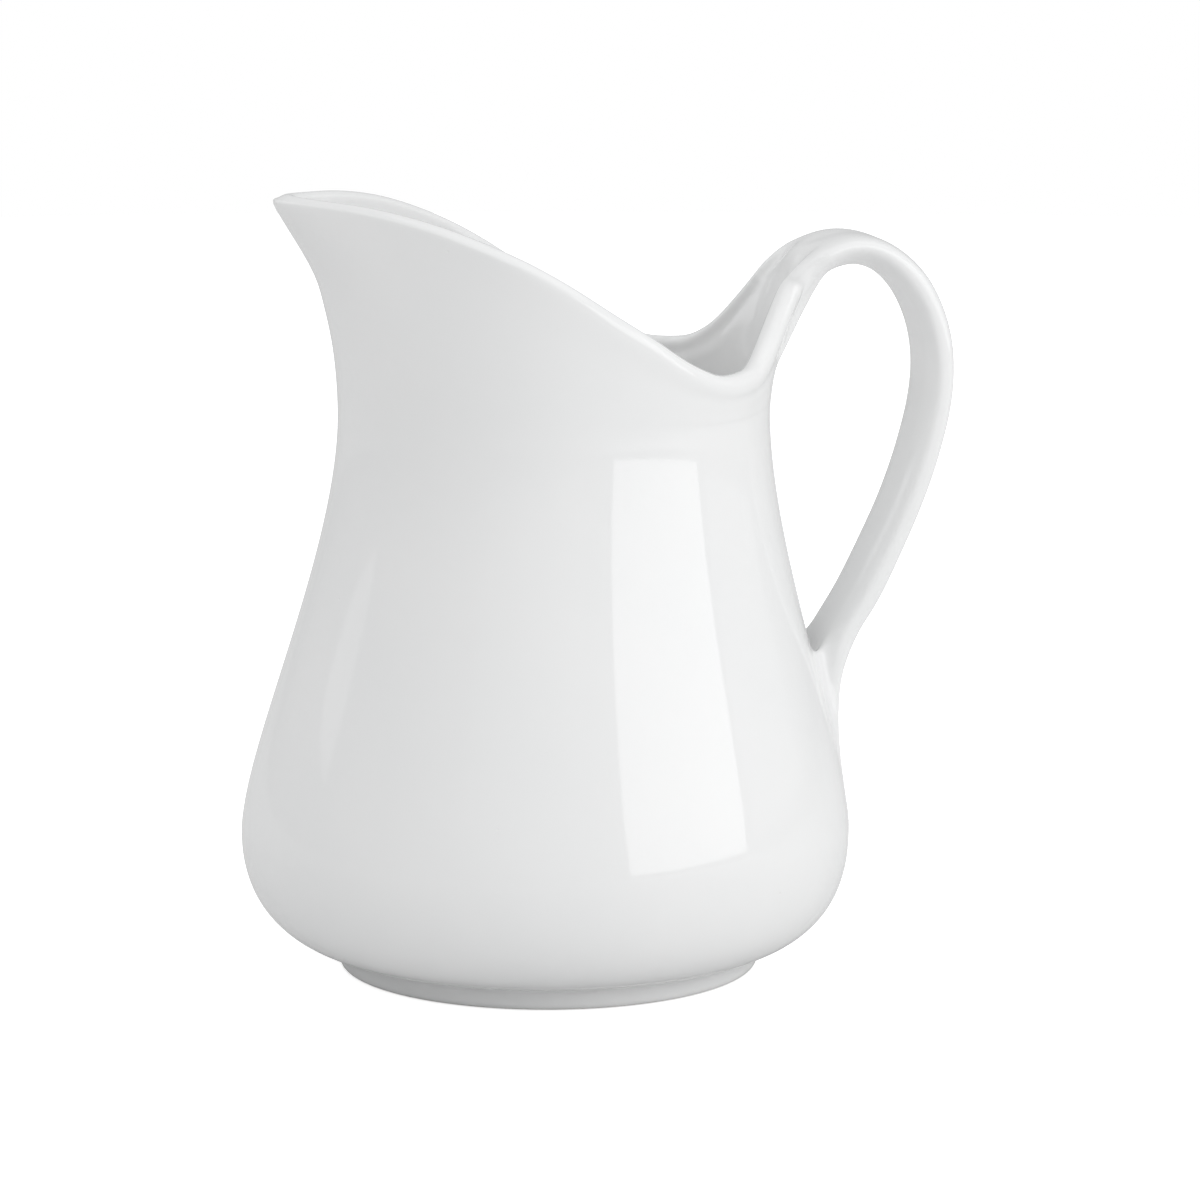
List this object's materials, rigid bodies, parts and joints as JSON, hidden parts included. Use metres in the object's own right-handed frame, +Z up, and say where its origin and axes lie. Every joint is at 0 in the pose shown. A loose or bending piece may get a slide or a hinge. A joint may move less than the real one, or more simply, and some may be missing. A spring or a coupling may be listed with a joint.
{
  "type": "milk pitcher",
  "caption": "White glazed porcelain milk pitcher in one piece: low round belly, waisted neck, pouring spout and a flat strap handle that grows out of the lip.",
  "frame": {"origin": "centre of the foot ring on the surface that the pitcher stands on", "axes": "+Z up; the spout points along -X and the handle along +X; the plane Y = 0 cuts the spout and the handle in half"},
  "size_m": [0.1439, 0.1222, 0.1574],
  "materials": {
    "porcelain": "smooth gloss white glaze, bare and matt on the standing face of the foot ring"
  },
  "bodies": {
    "root": {"pitcher": "porcelain"}
  },
  "joints": []
}
